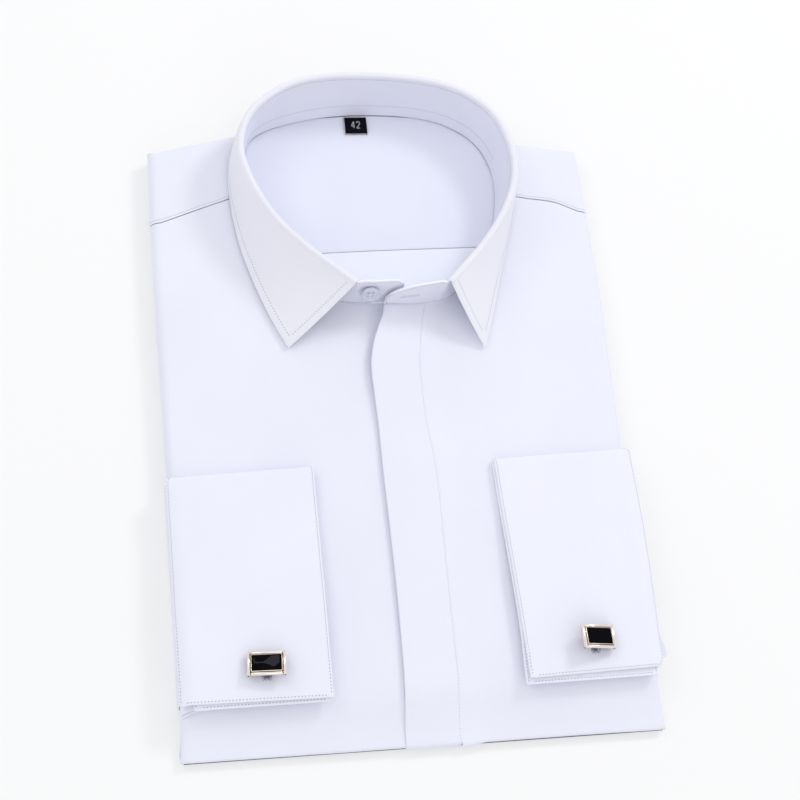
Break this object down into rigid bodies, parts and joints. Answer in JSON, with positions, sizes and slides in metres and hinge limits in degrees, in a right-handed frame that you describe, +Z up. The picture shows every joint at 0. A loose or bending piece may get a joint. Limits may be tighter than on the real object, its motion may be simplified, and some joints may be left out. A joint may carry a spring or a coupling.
{
  "type": "folded long sleeve dress shirt",
  "caption": "Dress shirt folded on its back with a standing spread collar, covered fly front, and double cuffs laid on the front with rectangular stone cufflinks.",
  "frame": {"origin": "middle of the footprint on the table, under the folded shirt", "axes": "+X to the wearer's left, +Y up the shirt from the hem to the collar, +Z up off the table"},
  "size_m": [0.252, 0.3718, 0.0436],
  "materials": {
    "cloth": "smooth fine plain weave, bluish white",
    "cloth_inside": "inside of the same cloth",
    "collar_cloth": "fused collar cloth, pressed",
    "pearl": "pearly translucent button",
    "label_weave": "black woven label",
    "link_metal": "polished rose gold",
    "link_stone": "polished black stone"
  },
  "bodies": {
    "root": {"folded_core": "cloth_inside", "front_right": "cloth", "front_left": "cloth", "placket_fly": "cloth", "yoke_outer": "cloth", "yoke_inner": "cloth_inside", "back_panel": "cloth_inside", "collar_stand": "collar_cloth", "collar_leaf": "collar_cloth", "collar_button": "pearl", "neck_label": "label_weave", "sleeve_right": "cloth", "sleeve_left": "cloth", "cuff_right": "cloth", "cuff_left": "cloth", "cufflink_right_frame": "link_metal", "cufflink_right_stone": "link_stone", "cufflink_right_post": "link_metal", "cufflink_left_frame": "link_metal", "cufflink_left_stone": "link_stone", "cufflink_left_post": "link_metal"}
  },
  "joints": []
}
